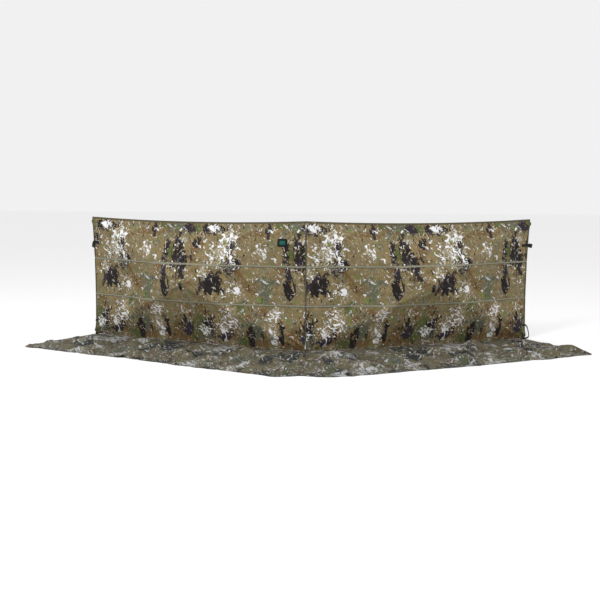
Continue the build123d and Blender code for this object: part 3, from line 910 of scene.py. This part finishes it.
def build_skirt(side):
    across = 2 * round((WALL_END + 0.2) / SKIRT_CELL / 2)
    deep = round(SKIRT_DEPTH["seam"] / SKIRT_CELL)
    whole = grid_of(across, deep)
    flat_place = {}
    middle = {}
    sewn = []
    for vert in whole.verts:
        s, t = (vert.co.x + 1) / 2, (vert.co.y + 1) / 2
        u, n = skirt_plan(side, s, t)
        flat_place[vert] = (print_place(side, u), 0.86 - n)
        middle[vert.index] = s
        if t < 0.001:
            sewn.append(vert.index)
        vert.co = at(side, u, n, skirt_start(side, u, n))
    flat_size = flat_halves(whole, middle, flat_place)
    places = let_it_lie(whole, sewn, SKIRT_LIFT[side])
    for vert in whole.verts:
        vert.co = places[vert.index]
    print(side, "skirt settled, highest", round(max(place.z for place in places), 3))
    set_cloth_uv(whole, flat_place)
    bmesh.ops.recalc_face_normals(whole, faces=whole.faces[:])
    whole.faces.ensure_lookup_table()
    if whole.faces[0].normal.z < 0:
        bmesh.ops.reverse_faces(whole, faces=whole.faces[:])
    whole.normal_update()
    for end in END_SIGN:
        def keep(face, end=end):
            share = sum(middle[v.index] for v in face.verts) / len(face.verts)
            return (share - SKIRT_SPLIT) * END_SIGN[end] > 0
        piece = cut_cloth(f"{side}_{end}_skirt_cloth", whole, keep, CLOTH_THICK, [skirt_cloth, cloth_reverse])
        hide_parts(f"{side}_{end}_skirt")
        skirt_gather(piece, side, end)
    print(side, "skirt cells", len(whole.faces))
    whole.free()


for side in SIDES:
    build_skirt(side)

# %% [markdown]
# ## Hardware from the CAD model
# Hubs, knuckles, poles, tips and pins keep their CAD shapes and get real finishes. The hub and knuckles
# are glass-filled nylon with the fine grain of a spark-eroded mould. The poles are pultruded glass
# fibre: a dark resin skin with faint streaks along it. The pins are zinc-plated steel.

# %% Finishes for the hardware
def moulded(name, colour_hex, roughness, grain_size=0.0012, specular=0.5):
    """Moulded plastic with a fine eroded grain."""
    material, tree, shader = start_material(name, **{"Roughness": roughness, "IOR": 1.5,
                                                     "Specular IOR Level": specular})
    place = add_node(tree, "ShaderNodeTexCoord").outputs["Object"]
    grain = noise_at(tree, place, 1 / grain_size, 2.0)
    base = linear(colour_hex)
    lighter = tuple(min(1.0, 1.5 * channel) for channel in base[:3]) + (1.0,)
    colour = mix_colours(tree, noise_at(tree, place, 40.0, 3.0), base, lighter)
    tree.links.new(colour, shader.inputs["Base Color"])
    bump(tree, shader, grain, 0.0002)
    return material


def fibre_rod():
    """Pultruded glass fibre in dark resin."""
    material, tree, shader = start_material("pultruded_glass_fibre", **{
        "Roughness": 0.32, "IOR": 1.54, "Coat Weight": 0.2, "Coat Roughness": 0.15})
    place = add_node(tree, "ShaderNodeTexCoord").outputs["Object"]
    colour = mix_colours(tree, noise_at(tree, place, 180.0, 4.0), linear("#17181a"), linear("#2c2e31"))
    tree.links.new(colour, shader.inputs["Base Color"])
    bump(tree, shader, noise_at(tree, place, 700.0, 2.0), 0.00006)
    return material


def plated_steel():
    material, tree, shader = start_material("zinc_plated_steel", **{"Metallic": 1.0, "Roughness": 0.35})
    place = add_node(tree, "ShaderNodeTexCoord").outputs["Object"]
    colour = mix_colours(tree, noise_at(tree, place, 300.0, 3.0), linear("#a9abad"), linear("#c6c8ca"))
    tree.links.new(colour, shader.inputs["Base Color"])
    return material


nylon = moulded("glass_filled_nylon", "#1b1b1c", 0.55)
acetal = moulded("moulded_acetal", "#0e0e0f", 0.38)
tip_plastic = moulded("moulded_polypropylene", "#151516", 0.50)
rod_finish = fibre_rod()
steel = plated_steel()
HARDWARE = {"_pole": rod_finish, "_knuckle": nylon, "_tip_cup": tip_plastic, "_hub": nylon,
            "_hub_pins": steel, "_hub_button": acetal, "_end_buckle": acetal}
for node_name, node_object in frame["nodes"].items():
    for ending, finish in HARDWARE.items():
        if node_name.endswith(ending):
            node_object.data.materials.clear()
            node_object.data.materials.append(finish)
print("hardware finished")

# %% [markdown]
# ## Webbing at the ends and the hub
# High on each outer end a webbing strap holds a ladder buckle, for guy lines. It is sewn to the front of
# the wall, goes through the buckle round its middle bar and comes back to be sewn behind. Low on the end
# is a flat loop for a ground stake. Under each hub button hangs a short pull tab.

# %% End straps, stake loops and pull tabs
END_HEIGHT = sum(corner.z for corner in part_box("left_end_strap")) / 2
END_SLOPE = math.atan2(HUB_BULGE, HALF_LENGTH)
END_WIDTH = 0.020
END_PATH = [(-0.062, 0.0012), (-0.040, 0.0012), (-0.015, 0.0014), (-0.004, 0.0018), (0.004, 0.0032),
            (0.011, 0.0052), (0.020, 0.0056), (0.0275, 0.0054), (0.0305, 0.0040), (0.0312, 0.0000),
            (0.0305, -0.0040), (0.0275, -0.0054), (0.020, -0.0056), (0.011, -0.0052), (0.004, -0.0040),
            (-0.004, -0.0034), (-0.015, -0.0030), (-0.040, -0.0030)]


END_DROOP = {"left": math.radians(78), "right": math.radians(12)}


def droop(side, x, rise):
    """Turns what is past the wall's end down by the strap's droop: x past the end, rise above its middle."""
    share = max(0.0, min(1.0, (x + 0.004) / 0.012))
    angle = END_DROOP[side] * share
    return x * math.cos(angle) + rise * math.sin(angle), rise * math.cos(angle) - x * math.sin(angle)


def end_place(side, x, off, height):
    """A point on the wall's outer end: x past the end, off the cloth, at a height."""
    bow = END_BOW * (1 - ((height - HUB_Z) / HALF_HEIGHT) ** 2)
    u = WALL_END - bow + x * math.cos(END_SLOPE) + off * math.sin(END_SLOPE)
    n = 0.5 * bow - x * math.sin(END_SLOPE) + off * math.cos(END_SLOPE)
    return at(side, u, n, height)


def smooth_path(points, per_span=4):
    """More points on a smooth curve through the given ones, a Catmull-Rom curve."""
    full = [points[0], *points, points[-1]]
    made = []
    for a, b, c, d in zip(full, full[1:], full[2:], full[3:]):
        for i in range(per_span):
            t = i / per_span
            made.append(tuple(
                0.5 * (2 * b[k] + (c[k] - a[k]) * t
                       + (2 * a[k] - 5 * b[k] + 4 * c[k] - d[k]) * t ** 2
                       + (3 * b[k] - a[k] - 3 * c[k] + d[k]) * t ** 3) for k in range(len(b))))
    made.append(tuple(points[-1]))
    return made


def end_strap(side):
    rows = []
    for share in (-0.5, -0.25, 0.0, 0.25, 0.5):
        row = []
        for x, off in smooth_path(END_PATH):
            past, rise = droop(side, x, share * END_WIDTH)
            row.append(end_place(side, past, off, END_HEIGHT + rise))
        rows.append(row)
    piece = tape(f"{side}_end_webbing", rows, 0.0013, black_webbing)
    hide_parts(f"{side}_end_strap")
    return gather(piece, side, "outer", "top")


def end_buckle(side):
    """The CAD buckle as one closed mesh, moved with the cloth's drawn-in edge, its edges softened."""
    shape = bmesh.new()
    shape.from_mesh(frame["nodes"][f"{side}_end_buckle"].data)
    bmesh.ops.remove_doubles(shape, verts=shape.verts[:], dist=1e-6)
    start = at(side, WALL_END, 0, END_HEIGHT)
    outward = turn(side, math.cos(END_SLOPE), -math.sin(END_SLOPE), 0)
    forward = turn(side, math.sin(END_SLOPE), math.cos(END_SLOPE), 0)
    for vert in shape.verts:
        away = vert.co - start
        past, rise = droop(side, away.dot(outward), away.z)
        vert.co = end_place(side, past, away.dot(forward), END_HEIGHT + rise)
    sharp = [edge for edge in shape.edges if edge.is_manifold and edge.calc_face_angle() > math.radians(40)]
    bmesh.ops.bevel(shape, geom=sharp, offset=0.0005, affect="EDGES", segments=2, profile=0.5, material=-1)
    mesh_data = bpy.data.meshes.new(f"{side}_ladder_buckle")
    shape.to_mesh(mesh_data)
    shape.free()
    piece = finish_mesh(f"{side}_ladder_buckle", mesh_data, [acetal])
    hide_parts(f"{side}_end_buckle")
    return gather(piece, side, "outer", "top")


LOOP_WIDTH = 0.011
LOOP_LEAN = {"left": 1.05, "right": 0.20}      # how far each loop has flopped back, in radians
LOOP_THICK = 0.0022
LOOP_PATH = [(-0.034, 0.1150), (-0.014, 0.1150), (0.004, 0.1110), (0.022, 0.0950), (0.034, 0.0700),
             (0.042, 0.0420),
             (0.043, 0.0220), (0.034, 0.0120), (0.016, 0.0095), (-0.008, 0.0090), (-0.030, 0.0090)]


def stake_loop(side):
    """A flat loop of webbing that stands off the wall's end, with both its legs sewn to the cloth."""
    path = smooth_path(LOOP_PATH, 6)
    rows = []
    for share in (-0.5, -0.17, 0.17, 0.5):
        row = []
        for i, (x, height) in enumerate(path):
            before, after = path[max(0, i - 1)], path[min(len(path) - 1, i + 1)]
            along = Vector((after[0] - before[0], after[1] - before[1])).normalized()
            away = Vector((-along.y, along.x)) * (share * LOOP_WIDTH)
            past = x + away.x
            lean = LOOP_LEAN[side] if past > 0 else 0.0
            off = 0.0035 + 0.0035 * math.sin(math.pi * i / (len(path) - 1)) - past * math.sin(lean)
            row.append(end_place(side, past * math.cos(lean), off, max(0.005, height + away.y)))
        rows.append(row)
    piece = tape(f"{side}_stake_webbing", rows, LOOP_THICK, black_webbing)
    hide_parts(f"{side}_stake_loop")
    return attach(piece, f"{side}_outer_bottom_arm")


TAB_WIDTH = 0.020
TAB_PATH = [(0.009, 0.0012), (0.000, 0.0013), (-0.008, 0.0012), (-0.016, -0.0012), (-0.026, -0.0050),
            (-0.036, -0.0098), (-0.042, -0.0118), (-0.0434, -0.0106), (-0.042, -0.0092), (-0.036, -0.0074),
            (-0.026, -0.0026), (-0.016, 0.0012), (-0.008, 0.0024)]


def pull_tab(side):
    """Doubled webbing from under the button, hanging down the cloth."""
    front = HUB_BULGE - 0.0026
    rows = [[at(side, HUB_U + share * TAB_WIDTH, front + off - 0.0002, HUB_Z + z)
             for z, off in smooth_path(TAB_PATH)] for share in (-0.5, 0.0, 0.5)]
    piece = tape(f"{side}_pull_webbing", rows, 0.0007, black_webbing)
    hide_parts(f"{side}_pull_tab")
    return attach(piece, f"{side}_hub")


for side in SIDES:
    end_strap(side)
    end_buckle(side)
    stake_loop(side)
    pull_tab(side)
print("webbing made")

# %% [markdown]
# ## The label
# A woven patch is sewn near the seam. It is left plain: a dark ground, a teal field and a merrowed border.

# %% Label patch
LABEL_SIZE = (0.070, 0.056)
LABEL_CORNER = 0.010
LABEL_CELLS = 18
label_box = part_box("label_patch")
label_middle = (label_box[0] + label_box[1]) / 2
LABEL_U = (label_middle - at("left", 0, 0, 0)).dot(turn("left", 1, 0, 0))
LABEL_Z = label_middle.z


def label_weave():
    """Damask weave: black ground with a teal field, whose edge is a rounded frame."""
    material, tree, shader = start_material("damask_woven_label", **{
        "Roughness": 0.7, "Specular IOR Level": 0.25, "IOR": 1.5})
    cloth = add_node(tree, "ShaderNodeUVMap", {"uv_map": "cloth"}).outputs[0]
    split = add_node(tree, "ShaderNodeSeparateXYZ", inputs={0: cloth})
    inside = []
    for socket, half in ((0, 0.26), (1, 0.24)):
        size = LABEL_SIZE[socket]
        middle = both(tree, split.outputs[socket], size / 2, "SUBTRACT")
        distance = add_node(tree, "ShaderNodeMath", math_node("ABSOLUTE"), {0: middle}).outputs[0]
        inside.append(step(tree, distance, half * size + 0.0003, half * size - 0.0003))
    field = both(tree, inside[0], inside[1])
    colour = mix_colours(tree, field, linear("#080d0d"), linear("#0c5346"))
    tree.links.new(colour, shader.inputs["Base Color"])
    bump(tree, shader, weave_height(tree, cloth, 0.0008), 0.0001)
    return material


def label_patch():
    patch = grid_of(LABEL_CELLS, LABEL_CELLS)
    flat_place = {}
    for vert in patch.verts:
        x, y = vert.co.x * LABEL_SIZE[0] / 2, vert.co.y * LABEL_SIZE[1] / 2
        over_x = max(0.0, abs(x) - (LABEL_SIZE[0] / 2 - LABEL_CORNER))
        over_y = max(0.0, abs(y) - (LABEL_SIZE[1] / 2 - LABEL_CORNER))
        reach = math.hypot(over_x, over_y)
        if reach > LABEL_CORNER:
            x -= math.copysign(over_x * (1 - LABEL_CORNER / reach), x)
            y -= math.copysign(over_y * (1 - LABEL_CORNER / reach), y)
        flat_place[vert] = (x + LABEL_SIZE[0] / 2, y + LABEL_SIZE[1] / 2)
        p, q = (LABEL_U + x - HUB_U) / HALF_LENGTH, (LABEL_Z + y - HUB_Z) / HALF_HEIGHT
        u, n, z = wall_point("left", p, q)
        vert.co = at("left", u, n + 0.0022, z)
    set_cloth_uv(patch, flat_place)
    bmesh.ops.solidify(patch, geom=patch.faces[:], thickness=0.0012)
    bmesh.ops.recalc_face_normals(patch, faces=patch.faces[:])
    for face in patch.faces:
        face.smooth = True
    mesh_data = bpy.data.meshes.new("woven_label")
    patch.to_mesh(mesh_data)
    patch.free()
    piece = finish_mesh("woven_label", mesh_data, [label_weave()])
    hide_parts("label_patch")
    return gather(piece, "left", "inner", "top")


label_patch()
print("label at", round(LABEL_U, 3), round(LABEL_Z, 3))

# %% [markdown]
# ## Floor, light and camera
# The blind stands on a plain white floor under wide soft lights. One large light hangs over the front,
# as an overcast sky does: it brightens the cloth that leans back and leaves the lower cloth in shade.

# %% Floor, light and camera
FLOOR_SIZE = 60.0
floor_sheet = grid_of(1, 1)
bmesh.ops.scale(floor_sheet, vec=(FLOOR_SIZE / 2, FLOOR_SIZE / 2, 1), verts=floor_sheet.verts[:])
floor_mesh = bpy.data.meshes.new("floor")
floor_sheet.to_mesh(floor_mesh)
floor_sheet.free()
floor_paint, floor_tree, floor_shader = start_material("floor_paint", Roughness=0.9)
floor_shader.inputs["Base Color"].default_value = linear("#fafafa")
floor = finish_mesh("floor", floor_mesh, [floor_paint])
floor.location.z = -0.0002

world = bpy.data.worlds.new("overcast")
world.use_nodes = True
world.node_tree.nodes["Background"].inputs[0].default_value = linear("#ffffff")
world.node_tree.nodes["Background"].inputs[1].default_value = 0.88
bpy.context.scene.world = world
bpy.context.scene.view_settings.view_transform = "Standard"


def soft_light(name, place, aim, size, power):
    lamp = bpy.data.lights.new(name, "AREA")
    lamp.shape = "RECTANGLE"
    lamp.size, lamp.size_y = size
    lamp.energy = power
    holder = bpy.data.objects.new(name, lamp)
    holder.location = place
    holder.rotation_euler = (Vector(aim) - Vector(place)).to_track_quat("-Z", "Y").to_euler()
    bpy.context.scene.collection.objects.link(holder)


soft_light("sky_light", (0.0, -0.9, 4.0), (0.0, 0.0, 0.3), (6.0, 3.0), 40)
soft_light("front_light", (1.0, -6.2, 1.2), (0.0, 0.0, 0.4), (5.0, 2.0), 60)
soft_light("key_light", (-2.6, -4.2, 5.0), (0.0, 0.0, 0.4), (1.4, 1.4), 120)

CAMERA_FROM_SEAM = Vector((0.19, -5.50, 1.15))
CAMERA_YAW, CAMERA_PITCH, CAMERA_ROLL = (math.radians(v) for v in (2.38, 8.06, 0.26))
CAMERA_LENS = 48.0
camera_data = bpy.data.cameras.new("camera")
camera_data.lens = CAMERA_LENS
camera_data.sensor_width = 36.0
camera = bpy.data.objects.new("camera", camera_data)
camera.location = CAMERA_FROM_SEAM + Vector((0, SEAM_Y, 0))
look = Vector((-math.sin(CAMERA_YAW) * math.cos(CAMERA_PITCH), math.cos(CAMERA_YAW) * math.cos(CAMERA_PITCH),
               -math.sin(CAMERA_PITCH)))
rolled = Matrix.Rotation(CAMERA_ROLL, 3, "Z").to_quaternion()
camera.rotation_euler = (look.to_track_quat("-Z", "Y") @ rolled).to_euler()
bpy.context.scene.collection.objects.link(camera)
bpy.context.scene.camera = camera
